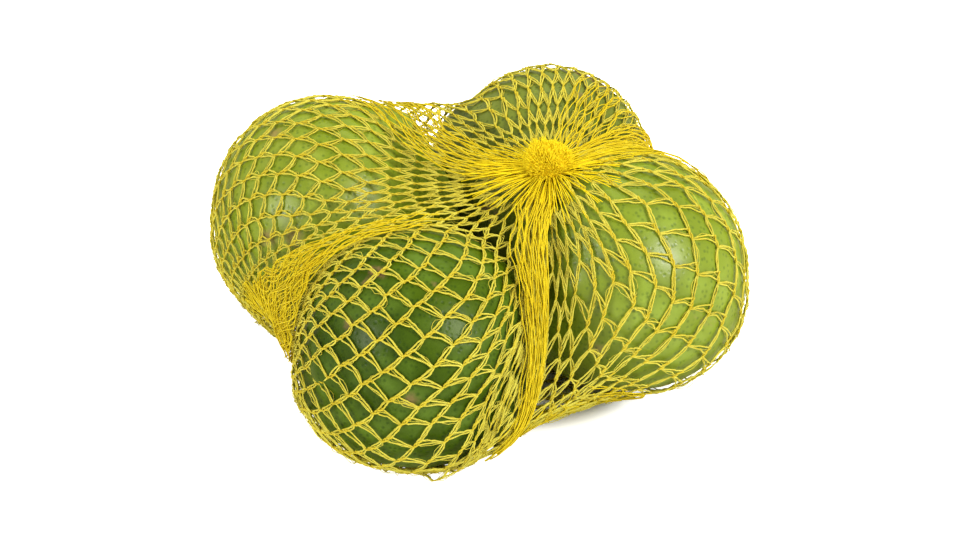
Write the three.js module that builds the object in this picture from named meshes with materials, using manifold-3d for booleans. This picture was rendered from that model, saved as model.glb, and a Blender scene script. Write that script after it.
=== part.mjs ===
// Four limes held together by a knitted net that is gathered into a tuft on top.
//
// The solid is the outer form that the net and the fruit make together: a taut film that lies on
// four lime bulges, bridges the valleys between them, is pinched into pleats under the tuft and
// runs together again in a small gather underneath. Millimetres, +Z up, resting on Z = 0, with
// the origin under the middle of the bounding box.

import * as THREE from 'three';
import { mergeVertices } from 'three/addons/utils/BufferGeometryUtils.js';
import Module from 'manifold-3d';

// ---- driving dimensions -------------------------------------------------------------------

const NET_THICKNESS = 0.8;
const LIME_STRETCH = 1.03; // a lime's length over its width
const FOOT_SINK = 0.3; // how far each foot spot is cut above the film's lowest point

// Each lime: middle in X and Y, radius at its widest, the direction of its stalk end, and how far
// the net hangs slack round its lower half.
const LIMES = [
  { x: -37.2, y: 16.6, radius: 28.2, stalk: [0.0, 0.53, 0.85], slack: 1.8 }, // left
  { x: -12.6, y: -39.8, radius: 26.9, stalk: [0.8, 0.6, -0.1], slack: 3.2 }, // front
  { x: 36.8, y: -10.6, radius: 28.4, stalk: [0.5, 0.8, -0.33], slack: 1.8 }, // right
  { x: 19.4, y: 41.6, radius: 26.4, stalk: [-0.05, 0.53, 0.85], slack: 0.8 }, // back
];

const NECK = { x: 17.9, y: -5.6, z: 51.5, radius: 2.8 };
const TUFT = { radius: 5.6, height: 5.2, rise: 5.7, rings: 7, lobes: 10, lobeDepth: 0.09 };
const GATHER = { x: -30.6, y: -12.6, z: 7.0, radius: 3.0 };

// Folds of the film round the neck: they deepen up to `full` away from it and end at `reach`.
const PLEATS = { count: 16, depth: 0.7, full: 16, reach: 34 };

const COLUMNS = 80; // points round the film
const ROWS = 40; // steps from the neck to the gather
const SWEEPS = 1500; // passes that draw the film tight
const BALLOON = 88; // radius of the sphere that the film starts from
const HOOP_PULL = 2; // pull round the film over pull along it

const WELD = 1e-5; // points closer than this are one point

// ---- the limes as obstacles ---------------------------------------------------------------

/** An ellipsoid of revolution: half-length radius * LIME_STRETCH along its stalk direction. */
function makeLime({ x, y, radius, stalk, slack }) {
  const axis = new THREE.Vector3(...stalk).normalize();
  const halfHeight = radius * Math.hypot(Math.sqrt(1 - axis.z ** 2), LIME_STRETCH * axis.z);
  const centre = new THREE.Vector3(x, y, halfHeight + NET_THICKNESS - FOOT_SINK);
  return { axis, centre, slack, skin: radius + NET_THICKNESS };
}

/** Moves a point that is inside the lime's net skin out onto it; slack swells its lower half. */
function pushOut(point, lime, offset) {
  offset.subVectors(point, lime.centre);
  const along = offset.dot(lime.axis);
  offset.addScaledVector(lime.axis, along / LIME_STRETCH - along);
  const distance = offset.length();
  const down = Math.max(0, -offset.z / distance);
  const swell = 4 * down * (1 - down); // none at the waist and the foot, 1 half way between
  const reach = lime.skin + lime.slack * swell;
  if (distance >= reach) return;
  offset.multiplyScalar(reach / distance);
  const stretched = offset.dot(lime.axis);
  offset.addScaledVector(lime.axis, stretched * LIME_STRETCH - stretched);
  point.addVectors(lime.centre, offset);
}

// ---- the film -----------------------------------------------------------------------------

const columnAngle = (column) => (2 * Math.PI * column) / COLUMNS;

/** A horizontal ring of one point per column, its radius scaled by outline(angle). */
function ring({ x, y, z, radius }, outline = () => 1) {
  return Array.from({ length: COLUMNS }, (_, column) => {
    const angle = columnAngle(column);
    const reach = radius * outline(angle);
    return new THREE.Vector3(x + reach * Math.cos(angle), y + reach * Math.sin(angle), z);
  });
}

/** Rows of points on a sphere round the fruit, its first row at the neck's side. */
function balloonRows(limes) {
  const middle = limes.reduce((sum, lime) => sum.add(lime.centre), new THREE.Vector3());
  middle.divideScalar(limes.length);
  const rows = [];
  for (let row = 0; row <= ROWS; row += 1) {
    const polar = (Math.PI * row) / ROWS;
    const { x, y } = middle;
    const z = middle.z + BALLOON * Math.cos(polar);
    rows.push(ring({ x, y, z, radius: BALLOON * Math.sin(polar) }));
  }
  return rows;
}

/** Moves a point to the mean of its neighbours, each weighted by its distance and its pull. */
function settle(point, neighbours, pulls) {
  const weights = neighbours.map((other, side) => pulls[side] * other.distanceTo(point));
  const total = weights.reduce((sum, weight) => sum + weight, 0);
  point.set(0, 0, 0);
  neighbours.forEach((other, side) => point.addScaledVector(other, weights[side] / total));
}

/** Draws the film tight between the neck and the gather, outside the limes. */
function relaxedFilm(limes) {
  const rows = balloonRows(limes);
  rows[0] = ring(NECK);
  rows[ROWS] = ring(GATHER);
  const pulls = [1, 1, HOOP_PULL, HOOP_PULL];
  const offset = new THREE.Vector3();
  for (let sweep = 0; sweep < SWEEPS; sweep += 1) {
    for (let row = 1; row < ROWS; row += 1) {
      for (let column = 0; column < COLUMNS; column += 1) {
        const point = rows[row][column];
        const next = rows[row][(column + 1) % COLUMNS];
        const previous = rows[row][(column + COLUMNS - 1) % COLUMNS];
        settle(point, [rows[row - 1][column], rows[row + 1][column], next, previous], pulls);
        for (const lime of limes) pushOut(point, lime, offset);
      }
    }
  }
  return rows;
}

/** The film's outward direction at a point; none where it is held at the neck and the gather. */
function filmNormal(rows, row, column) {
  if (row === 0 || row === ROWS) return new THREE.Vector3();
  const next = rows[row][(column + 1) % COLUMNS];
  const previous = rows[row][(column + COLUMNS - 1) % COLUMNS];
  const across = new THREE.Vector3().subVectors(next, previous);
  const upwards = new THREE.Vector3().subVectors(rows[row - 1][column], rows[row + 1][column]);
  return across.cross(upwards).normalize();
}

/** Raises and sinks the film in folds that fan out from the neck and fade with distance. */
function pleat(rows) {
  const neck = new THREE.Vector3(NECK.x, NECK.y, NECK.z);
  const normals = rows.map((points, row) => points.map((_, column) => filmNormal(rows, row, column)));
  rows.forEach((points, row) => points.forEach((point, column) => {
    const distance = point.distanceTo(neck);
    const rise = THREE.MathUtils.smoothstep(distance, 0, PLEATS.full);
    const fall = THREE.MathUtils.smoothstep(distance, PLEATS.full, PLEATS.reach);
    const wave = Math.cos(PLEATS.count * columnAngle(column));
    point.addScaledVector(normals[row][column], PLEATS.depth * rise * (1 - fall) * wave);
  }));
}

// ---- the tuft -----------------------------------------------------------------------------

/** Rings of the tuft from its crown down to the neck: a rounded brush of lobes of yarn ends. */
function tuftRings() {
  const lowest = -Math.acos(NECK.radius / TUFT.radius);
  const lobed = (angle) => 1 + TUFT.lobeDepth * Math.cos(TUFT.lobes * angle);
  const rings = [];
  for (let step = 1; step <= TUFT.rings; step += 1) {
    const latitude = THREE.MathUtils.lerp(Math.PI / 2, lowest, step / (TUFT.rings + 1));
    const radius = TUFT.radius * Math.cos(latitude);
    const z = NECK.z + TUFT.rise + TUFT.height * Math.sin(latitude);
    rings.push(ring({ x: NECK.x, y: NECK.y, z, radius }, lobed));
  }
  return rings;
}

// ---- the closed solid ---------------------------------------------------------------------

/** Closes a stack of rings with a point at either end and faces it outwards. */
function closedGeometry(rings, crown, base) {
  const positions = [crown, ...rings.flat(), base].flatMap((point) => point.toArray());
  const at = (row, column) => 1 + row * COLUMNS + (column % COLUMNS);
  const last = 1 + rings.length * COLUMNS;
  const faces = [];
  for (let column = 0; column < COLUMNS; column += 1) {
    faces.push(0, at(0, column), at(0, column + 1));
    faces.push(last, at(rings.length - 1, column + 1), at(rings.length - 1, column));
    for (let row = 0; row < rings.length - 1; row += 1) {
      faces.push(at(row, column), at(row + 1, column), at(row + 1, column + 1));
      faces.push(at(row, column), at(row + 1, column + 1), at(row, column + 1));
    }
  }
  const geometry = new THREE.BufferGeometry();
  geometry.setAttribute('position', new THREE.Float32BufferAttribute(positions, 3));
  geometry.setIndex(faces);
  return geometry;
}

/** The outer form: tuft, pleated film and the small gather underneath. */
function netGeometry() {
  const limes = LIMES.map(makeLime);
  const film = relaxedFilm(limes);
  pleat(film);
  const crown = new THREE.Vector3(NECK.x, NECK.y, NECK.z + TUFT.rise + TUFT.height);
  const base = new THREE.Vector3(GATHER.x, GATHER.y, GATHER.z);
  return closedGeometry([...tuftRings(), ...film], crown, base);
}

// ---- foot spots ---------------------------------------------------------------------------

const wasm = await Module();
wasm.setup();

function toSolid(geometry) {
  const bare = geometry.clone();
  bare.deleteAttribute('normal');
  bare.deleteAttribute('uv');
  const merged = mergeVertices(bare, WELD);
  return new wasm.Manifold(new wasm.Mesh({
    numProp: 3,
    vertProperties: new Float32Array(merged.attributes.position.array),
    triVerts: new Uint32Array(merged.index.array),
  }));
}

function toGeometry(solid) {
  const mesh = solid.getMesh();
  const geometry = new THREE.BufferGeometry();
  geometry.setAttribute('position', new THREE.BufferAttribute(mesh.vertProperties, 3));
  geometry.setIndex(new THREE.BufferAttribute(mesh.triVerts, 1));
  geometry.computeVertexNormals();
  return geometry;
}

/** Keeps what is above the resting plane, so each lime's underside ends in a small flat spot. */
function cutFlat(geometry) {
  const side = 4 * BALLOON; // well past the net on every side
  const above = new THREE.BoxGeometry(side, side, side);
  above.translate(0, 0, side / 2);
  return toGeometry(toSolid(geometry).intersect(toSolid(above)));
}

const netMaterial = new THREE.MeshStandardMaterial({ color: '#c9b52e', roughness: 0.55, metalness: 0 });

const net = new THREE.Mesh(cutFlat(netGeometry()), netMaterial);
net.name = 'net_of_limes';

const group = new THREE.Group();
group.add(net);

export default group;
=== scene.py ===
"""Four limes in a knitted net that is gathered into a tuft of yarn ends on top.

Blender add-on layout, run as a script. Sizes inside the shape functions are in millimetres and
become metres where a mesh is made.
"""

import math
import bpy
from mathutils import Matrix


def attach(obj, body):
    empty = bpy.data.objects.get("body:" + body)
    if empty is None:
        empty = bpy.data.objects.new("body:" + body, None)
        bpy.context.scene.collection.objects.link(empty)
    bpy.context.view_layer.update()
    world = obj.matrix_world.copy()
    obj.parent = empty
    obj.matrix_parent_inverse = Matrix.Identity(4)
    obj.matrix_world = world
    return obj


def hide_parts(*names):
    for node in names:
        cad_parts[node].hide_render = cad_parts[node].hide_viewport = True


bl_info = {
    "name": "Net of limes",
    "version": (1, 0, 0),
    "blender": (4, 5, 0),
    "location": "3D View > Sidebar > Limes",
    "description": "Builds limes in a knitted net with a tuft, on a plain floor",
    "category": "Add Mesh",
}

import bpy
import numpy as np
from mathutils import Vector

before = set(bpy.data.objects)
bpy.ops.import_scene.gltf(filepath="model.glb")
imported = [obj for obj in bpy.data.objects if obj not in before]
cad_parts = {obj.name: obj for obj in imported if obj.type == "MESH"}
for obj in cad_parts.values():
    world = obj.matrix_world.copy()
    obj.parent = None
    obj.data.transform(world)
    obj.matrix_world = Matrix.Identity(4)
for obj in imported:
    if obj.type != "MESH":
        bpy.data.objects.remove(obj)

MM = 0.001
NODE = "net_of_limes"
BODY = "root"

# ---- the fruit and the ends of the net, in millimetres, as in the CAD part ----------------------

NET_THICKNESS = 0.8
LIME_STRETCH = 1.03  # a lime's length over its width
FOOT_SINK = 0.3  # how far a lime's foot spot lies above its lowest point

LIMES = {
    "left": {"x": -37.2, "y": 16.6, "radius": 28.2, "stalk": (0.0, 0.53, 0.85), "slack": 1.8},
    "front": {"x": -12.6, "y": -39.8, "radius": 26.9, "stalk": (0.8, 0.6, -0.1), "slack": 3.2},
    "right": {"x": 36.8, "y": -10.6, "radius": 28.4, "stalk": (0.5, 0.8, -0.33), "slack": 1.8},
    "back": {"x": 19.4, "y": 41.6, "radius": 26.4, "stalk": (-0.05, 0.53, 0.85), "slack": 0.8},
}

# Share of the net's slack that a lime's fuller lower half takes up.
FULLNESS = 0.7

# Where a lime swells towards its neighbour: direction, rise in millimetres, width in radians.
BULGES = {
    "left": (
        ((0.91, 0.41, 0.0), 3.6, 0.62),
        ((1.0, -0.05, -0.1), 3.0, 0.35),
        ((0.64, 0.43, 0.64), 2.4, 0.28),
    ),
    "back": (
        ((-0.91, -0.41, 0.0), 3.6, 0.62),
        ((-0.88, -0.26, -0.42), 3.4, 0.35),
        ((-0.98, 0.08, 0.17), 2.6, 0.35),
        ((-0.87, 0.20, 0.45), 1.8, 0.25),
    ),
}

# Between the left and the back lime the net runs straight: there it lies on a round-ended bar that
# isn't made itself.
BRIDGE = {"start": (-29.0, 26.2, 45.1), "end": (-1.0, 45.7, 34.9), "radius": 9.0}

NECK = np.array([17.9, -5.6, 51.5])
NECK_RADIUS = 2.8
GATHER = np.array([-30.6, -12.6, 7.0])
GATHER_RADIUS = 3.0

# A point this near to a lime or to the floor touches it, in millimetres.
LIME_TOUCH = 0.08
FLOOR_TOUCH = 0.05

# Keeps a division by a length away from zero.
TINY = 1e-9

# A direction that no loose thread runs along: its rings are set square to it.
LEANING_UP = np.array([0.1, 0.2, 0.97])


# ---- small helpers on arrays --------------------------------------------------------------------


def unit(vectors):
    """Vectors divided by their length."""
    vectors = np.asarray(vectors, float)
    return vectors / np.maximum(np.linalg.norm(vectors, axis=-1, keepdims=True), TINY)


def lengths_of(vectors):
    """The length of every vector."""
    return np.sqrt((vectors * vectors).sum(-1))


def smooth_step(value, low, high):
    """0 below low, 1 above high, and the cubic 3t^2 - 2t^3 between them."""
    t = np.clip((value - low) / (high - low), 0, 1)
    return t * t * (3 - 2 * t)


def polar(reach, angle, height):
    """Points at a distance from the Z axis, an angle round it and a height."""
    return np.stack(np.broadcast_arrays(reach * np.cos(angle), reach * np.sin(angle), height), -1)


def slack_share(down):
    """Where the net hangs slack: 4 d (1 - d), with d the sine of the angle below the waist."""
    return 4 * down * (1 - down)


def lime_body(name):
    """Centre, radius and unit axis of a lime that rests on its foot spot."""
    lime = LIMES[name]
    axis = unit(lime["stalk"])
    half_height = lime["radius"] * math.hypot(math.sqrt(1 - axis[2] ** 2), LIME_STRETCH * axis[2])
    centre = np.array([lime["x"], lime["y"], half_height + NET_THICKNESS - FOOT_SINK])
    return centre, lime["radius"], axis


BODIES = {name: lime_body(name) for name in LIMES}


def lift_over(points, start, end, radius):
    """Moves points inside a round-ended bar straight out to its surface, in place."""
    start, bar = np.array(start), np.array(end) - np.array(start)
    share = np.clip(((points - start) @ bar) / (bar @ bar), 0, 1)
    nearest = start + share[..., None] * bar
    offset = points - nearest
    distance = lengths_of(offset)
    inside = distance < radius
    if inside.any():
        out = offset[inside] * (radius / np.maximum(distance[inside], TINY))[:, None]
        points[inside] = nearest[inside] + out


def push_out(points, clearance, touching=None):
    """Moves points that are nearer to a lime or the floor than the clearance out to it, in place.

    A lime is a sphere stretched along its axis: a point is unstretched along the axis, scaled out
    to radius + clearance + slack where it is inside, and stretched back. Points that touch a lime
    or the floor are marked in `touching`. Returns the points.
    """
    for name, (centre, radius, axis) in BODIES.items():
        offset = points - centre
        along = offset @ axis
        offset = offset - (along * (1 - 1 / LIME_STRETCH))[..., None] * axis
        distance = lengths_of(offset)
        down = np.maximum(0, -offset[..., 2] / np.maximum(distance, TINY))
        reach = radius + clearance + slack_share(down) * LIMES[name]["slack"]
        if touching is not None:
            touching |= distance < reach + LIME_TOUCH
        inside = distance < reach
        if inside.any():
            out = offset[inside] * (reach / distance)[inside][:, None]
            out = out + ((out @ axis) * (LIME_STRETCH - 1))[:, None] * axis
            points[inside] = centre + out
    lift_over(points, **BRIDGE)
    np.maximum(points[..., 2], clearance, out=points[..., 2])
    if touching is not None:
        touching |= points[..., 2] < clearance + FLOOR_TOUCH
    return points


def upwards(rows):
    """From the row below to the row above, at every point of a net; one-sided at its ends."""
    up = np.empty_like(rows)
    up[1:-1] = rows[:-2] - rows[2:]
    up[0] = rows[0] - rows[1]
    up[-1] = rows[-2] - rows[-1]
    return up


def curve_through(start, middle, end, steps):
    """A parabola from start to end that passes through the middle point half way."""
    t = np.linspace(0, 1, steps)[:, None]
    control = 2 * middle - 0.5 * (start + end)
    control, start, end = control[..., None, :], start[..., None, :], end[..., None, :]
    return (1 - t) ** 2 * start + 2 * t * (1 - t) * control + t * t * end


def add_mesh(name, vertices, face_sets, smooth=True):
    """A mesh object from vertices in millimetres and arrays of faces, each of one face size."""
    vertices = np.asarray(vertices, np.float64).reshape(-1, 3) * MM
    loops = np.concatenate([np.asarray(faces).ravel() for faces in face_sets]).astype(np.int32)
    sizes = np.concatenate([np.full(len(faces), faces.shape[1]) for faces in face_sets])
    starts = np.concatenate([[0], np.cumsum(sizes)[:-1]]).astype(np.int32)
    mesh = bpy.data.meshes.new(name)
    mesh.vertices.add(len(vertices))
    mesh.vertices.foreach_set("co", vertices.ravel())
    mesh.loops.add(len(loops))
    mesh.loops.foreach_set("vertex_index", loops)
    mesh.polygons.add(len(sizes))
    mesh.polygons.foreach_set("loop_start", starts)
    mesh.polygons.foreach_set("use_smooth", np.full(len(sizes), smooth))
    mesh.update(calc_edges=True)
    mesh.validate()
    piece = bpy.data.objects.new(name, mesh)
    bpy.context.scene.collection.objects.link(piece)
    return piece


def place(piece, material):
    """Gives the piece its material, makes it ride on its body and hides the CAD part."""
    piece.data.materials.append(material)
    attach(piece, BODY)
    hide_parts(NODE)


def tubes(paths, radii, sides, outward):
    """Closed tubes along many paths of equally many points.

    paths is (tubes, points, 3) and radii broadcasts to (tubes, points). Each ring is
    path + radius * (cos a * u + sin a * v), with u square to the path and to `outward`, and v
    square to both. A polygon closes either end.
    """
    count, length = paths.shape[:2]
    tangent = np.empty_like(paths)
    tangent[:, 1:-1] = paths[:, 2:] - paths[:, :-2]
    tangent[:, 0] = paths[:, 1] - paths[:, 0]
    tangent[:, -1] = paths[:, -1] - paths[:, -2]
    tangent = unit(tangent)
    u = unit(np.cross(tangent, np.broadcast_to(outward, paths.shape)))
    v = np.cross(tangent, u)
    angle = 2 * np.pi * np.arange(sides) / sides
    radii = np.broadcast_to(radii, (count, length))[..., None, None]
    ring = np.cos(angle)[:, None] * u[:, :, None] + np.sin(angle)[:, None] * v[:, :, None]
    vertices = paths[:, :, None] + radii * ring
    index = np.arange(count * length * sides).reshape(count, length, sides)
    step = np.roll(index, -1, axis=2)
    walls = np.stack([index[:, :-1], step[:, :-1], step[:, 1:], index[:, 1:]], -1).reshape(-1, 4)
    ends = np.concatenate([index[:, 0, ::-1], index[:, -1]])
    return vertices, [walls, ends]


def add_threads(name, paths, radii, material, outward=LEANING_UP, sides=4):
    """One piece of the net, of closed tubes along many paths."""
    vertices, faces = tubes(paths, radii, sides, outward)
    place(add_mesh(name, vertices, faces), material)


def closed_grid(points):
    """Vertices and faces of a closed form from rings of points; each end ring becomes one point."""
    rings, across = points.shape[0] - 1, points.shape[1]
    grid = 1 + np.arange((rings - 1) * across).reshape(rings - 1, across)
    step = np.roll(grid, -1, axis=1)
    walls = np.stack([grid[:-1], step[:-1], step[1:], grid[1:]], -1).reshape(-1, 4)
    last = grid[-1, -1] + 1
    first_cap = np.stack([0 * grid[0], step[0], grid[0]], -1)
    last_cap = np.stack([0 * grid[0] + last, grid[-1], step[-1]], -1)
    vertices = np.concatenate([points[0, :1], points[1:-1].reshape(-1, 3), points[-1, :1]])
    return vertices, [walls, first_cap, last_cap]


# ---- the film that the net lies on --------------------------------------------------------------

FILM_COLUMNS = 80
FILM_ROWS = 40
FILM_SWEEPS = 1500
BALLOON = 88  # radius of the sphere that the film starts from
HOOP_PULL = 2  # pull round the film over pull along it

# The film is read between these shares of a column: none at the neck, 1 at the gather.
FILM_SHARES = (0.01, 0.97)

TURN_WHOLE = 3  # height over the peel up to which a turn about a lime is whole
TURN_NONE = 40  # distance from the lime's middle from which there is none


def drawn_film():
    """The film as rows of points from the neck to the gather, drawn tight outside the limes.

    It starts as a sphere. In each pass a point moves to the mean of its four neighbours, each
    weighted by its distance and its pull, and is pushed off the limes. Points whose row and column
    add up to an even number move first, then the others.
    """
    middle = np.mean([centre for centre, _, _ in BODIES.values()], axis=0)
    angles = 2 * np.pi * np.arange(FILM_COLUMNS) / FILM_COLUMNS
    latitude = np.pi * np.arange(FILM_ROWS + 1)[:, None] / FILM_ROWS
    film = middle + polar(BALLOON * np.sin(latitude), angles, BALLOON * np.cos(latitude))
    film[0] = NECK + polar(NECK_RADIUS, angles, 0)
    film[-1] = GATHER + polar(GATHER_RADIUS, angles, 0)
    rows, columns = np.meshgrid(np.arange(1, FILM_ROWS), np.arange(FILM_COLUMNS), indexing="ij")
    halves = [(rows + columns) % 2 == parity for parity in (0, 1)]
    for _ in range(FILM_SWEEPS):
        for half in halves:
            r, c = rows[half], columns[half]
            here = film[r, c]
            total = weights = 0
            for row, column, pull in (
                (r - 1, c, 1),
                (r + 1, c, 1),
                (r, (c + 1) % FILM_COLUMNS, HOOP_PULL),
                (r, (c - 1) % FILM_COLUMNS, HOOP_PULL),
            ):
                other = film[row, column]
                weight = lengths_of(other - here)[:, None] * pull
                total = total + other * weight
                weights = weights + weight
            film[r, c] = push_out(total / weights, NET_THICKNESS)
    return film


# ---- the net's joints on the film ---------------------------------------------------------------


def column_lengths(film):
    """The running length down every film column, from 0 at the neck."""
    length = np.zeros(film.shape[:2])
    length[1:] = np.cumsum(np.linalg.norm(np.diff(film, axis=0), axis=-1), axis=0)
    return length


def between_columns(column):
    """The film columns to either side of a fractional column, and the share of the way between."""
    at = (column % 1) * FILM_COLUMNS
    low = np.floor(at).astype(int)
    return low % FILM_COLUMNS, (low + 1) % FILM_COLUMNS, at - low


def whole_length(film, column):
    """The film's length from neck to gather at fractional columns, linear between columns."""
    ends = column_lengths(film)[-1]
    left, right, part = between_columns(column)
    return ends[left] * (1 - part) + ends[right] * part


def on_film(film, column, share):
    """Points of the film at fractional columns, a share of the way from the neck to the gather.

    The place is linear between two film columns and between two points of a column.
    """
    length = column_lengths(film)
    left, right, part = between_columns(column)
    sides = []
    for film_column in (left, right):
        target = length[-1, film_column] * share
        below = (length[:, film_column] <= target).sum(0).clip(1, FILM_ROWS) - 1
        start, end = length[below, film_column], length[below + 1, film_column]
        along = ((target - start) / (end - start))[..., None]
        sides.append(film[below, film_column] * (1 - along) + film[below + 1, film_column] * along)
    part = part[..., None]
    return sides[0] * (1 - part) + sides[1] * part


def at_depth(film, column, depth):
    """Points of the film at fractional columns and a running length below the neck."""
    return on_film(film, column, np.clip(depth / whole_length(film, column), *FILM_SHARES))


def column_distance(column, middle):
    """How far a column lies past another on the closed round, from -1/2 to 1/2."""
    return (column - middle + 0.5) % 1 - 0.5


def hump(column, middle, width):
    """exp(-d^2 / 2 width^2), with d the distance between a column and the middle one."""
    return np.exp(-0.5 * (column_distance(column, middle) / width) ** 2)


def crowded_columns(fraction, crowds, samples=4000):
    """Maps an even column fraction to the film so that columns crowd in some places.

    The density is 1 + the sum of amount * hump over the crowds (middle, width, amount); the map is
    its inverted running sum.
    """
    grid = (np.arange(samples) + 0.5) / samples
    density = np.ones(samples)
    for middle, width, amount in crowds:
        density += amount * hump(grid, middle, width)
    running = np.concatenate([[0], np.cumsum(density)])
    whole = np.floor(fraction)
    edges = np.arange(samples + 1) / samples
    return np.interp(fraction - whole, running / running[-1], edges) + whole


def fineness(column, finer):
    """The size of the net's meshes: 1 - the sum of amount * hump over (middle, width, amount)."""
    size = 1.0
    for middle, width, amount in finer:
        size = size - amount * hump(column, middle, width)
    return size


def bundled(column, depth, bundle):
    """Draws columns together into the bundle that runs down from the tuft.

    The bundle's own film column drifts with depth. A column within reach of it moves towards it
    by amount * (1 - x^2)^2, x being its distance over the reach, from `start` to `end` mm down;
    the outer columns leave the bundle first, up to `peel` mm sooner.
    """
    middle = bundle["column"] + bundle["drift"] * np.clip(depth - bundle["bend"], 0, 120)
    first = column_distance(column, bundle["column"])
    reach = np.where(first < 0, bundle["left"], bundle["right"])
    x = np.clip(np.abs(first) / reach, 0, 1)
    grow = smooth_step(depth, *bundle["start"])
    low, high = bundle["end"]
    leave = smooth_step(depth, low - bundle["peel"] * x, high - bundle["peel"] * x)
    pull = bundle["amount"] * grow * (1 - leave) * (1 - x * x) ** 2
    return column - column_distance(column, middle) * pull


def turned(points, lime, degrees, axis, full, none):
    """Points on one lime turned about an axis through its middle.

    The turn is whole within `full` degrees of the axis and none beyond `none`. It also fades with
    the height over the peel.
    """
    centre, radius, _ = BODIES[lime]
    axis = unit(axis)
    offset = points - centre
    distance = np.linalg.norm(offset, axis=-1)
    cosine = np.clip((offset @ axis) / np.maximum(distance, TINY), -1, 1)
    fade = 1 - smooth_step(np.degrees(np.arccos(cosine)), full, none)
    fade = fade * (1 - smooth_step(distance, radius + TURN_WHOLE, TURN_NONE))
    angle = np.radians(degrees) * fade
    along = (offset @ axis)[..., None] * axis
    across = offset - along
    turn = across * np.cos(angle)[..., None] + np.cross(axis, across) * np.sin(angle)[..., None]
    return centre + along + turn


def laid_net(film, net):
    """Where every joint starts: rows of joints, every second row half a column further on.

    Joint row r lies r * step down its column, and its column starts up to `ragged` rows late.
    Where a column is shorter than all its rows, they close up towards the gather: share =
    1 - (1 - r / rows) ** (rows * step / length).
    """
    rows, columns = net["rows"], net["columns"]
    j = np.arange(rows + 1)[:, None]
    fraction = (np.arange(columns)[None] + 0.5 * (j % 2)) / columns
    column = crowded_columns(fraction, net["crowds"])
    step = net["step"] * fineness(column, net["finer"])
    column = bundled(column, j * step, net["bundle"])
    rng = np.random.default_rng(net["seed"] + 1)
    late = net["ragged"] * rng.uniform(0, 1, columns)
    late = 0.5 * late + 0.25 * (np.roll(late, 1) + np.roll(late, -1))
    row = j + late * (1 - smooth_step(j, 0, rows))
    power = np.maximum(1, rows * step / whole_length(film, column))
    joints = on_film(film, column, 1 - (1 - row / rows) ** power)
    for turn in net["turns"]:
        joints[2:-2] = turned(joints[2:-2], **turn)
    joints[1:-1] = push_out(joints[1:-1], NET_THICKNESS)
    return joints


# ---- the net pulled tight -----------------------------------------------------------------------

SLACK_REST = 1.0  # length in mm towards which a slack half of a strand shrinks
START_ROD = 0.3  # half a joint's length at the start, over its whole length
PASSES = 2  # rounds of corrections in a step

# Heights in mm between which the tuck fades out, and distances from the peel for the same.
TUCK_HEIGHTS = (4, 18)
TUCK_NEAR, TUCK_FAR = 4, 12

EVERY = (slice(None), slice(None))


def shorten(first, second, length, slack_pull):
    """Half the move that brings two points back to `length` apart.

    A slack pair moves too, by slack_pull * (its distance - SLACK_REST).
    """
    gap = second - first
    distance = lengths_of(gap) + TINY
    slack = slack_pull * (distance - SLACK_REST)
    excess = np.where(distance > length, distance - length, slack)
    return (0.5 * excess / distance)[..., None] * gap


def tuck_under(points, tucks, rate):
    """Draws low points on some sides of some limes in towards the lime's foot, in place.

    The level move is rate * c^2, c being the cosine between the point's side and the side that is
    tucked; it fades out with height and away from the lime.
    """
    for lime, way in tucks:
        centre, radius, _ = BODIES[lime]
        offset = points[..., :2] - centre[:2]
        reach = np.maximum(np.linalg.norm(offset, axis=-1), TINY)
        cosine = np.clip((offset @ unit(way)) / reach, 0, 1)
        low = 1 - smooth_step(points[..., 2], *TUCK_HEIGHTS)
        near = 1 - smooth_step(reach, radius + TUCK_NEAR, radius + TUCK_FAR)
        points[..., :2] -= (rate * cosine ** 2 * low * near / reach)[..., None] * offset


def hold_rods(ends, rod):
    """Moves the two ends of every joint until they are `rod` apart, in place."""
    gap = ends[:, :, 1] - ends[:, :, 0]
    distance = lengths_of(gap) + TINY
    move = (0.5 * (distance - rod) / distance)[..., None] * gap
    ends[:, :, 0] += move
    ends[:, :, 1] -= move


def hold_strands(ends, middle, target, length, slack_pull, bend):
    """Corrects both halves of every strand of one family and straightens it a little, in place.

    A strand runs from the lower end of a joint through its middle to the upper end of the joint
    below that `target` picks; `bend` is the share of its bow that it loses.
    """
    move = shorten(ends[:-1, :, 1], middle, length, slack_pull)
    ends[:-1, :, 1] += move
    middle -= move
    lower = ends[1:, :, 0][target]
    move = shorten(middle, lower, length, slack_pull)
    middle += move
    moved = ends[1:, :, 0].copy()
    moved[target] = lower - move
    ends[1:, :, 0] = moved
    chord = 0.5 * (ends[:-1, :, 1] + ends[1:, :, 0][target])
    middle += bend * (chord - middle)


def hold_apart(ends, apart):
    """Moves neighbours of one row that are nearer than `apart` half way out, in place."""
    centre = 0.5 * (ends[:, :, 0] + ends[:, :, 1])
    gap = np.roll(centre, -1, axis=1) - centre
    distance = lengths_of(gap) + TINY
    close = np.where(distance < apart, 0.25 * (distance - apart) / distance, 0)
    move = close[..., None] * gap
    ends += move[:, :, None]
    ends -= np.roll(move, 1, axis=1)[:, :, None]


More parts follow.
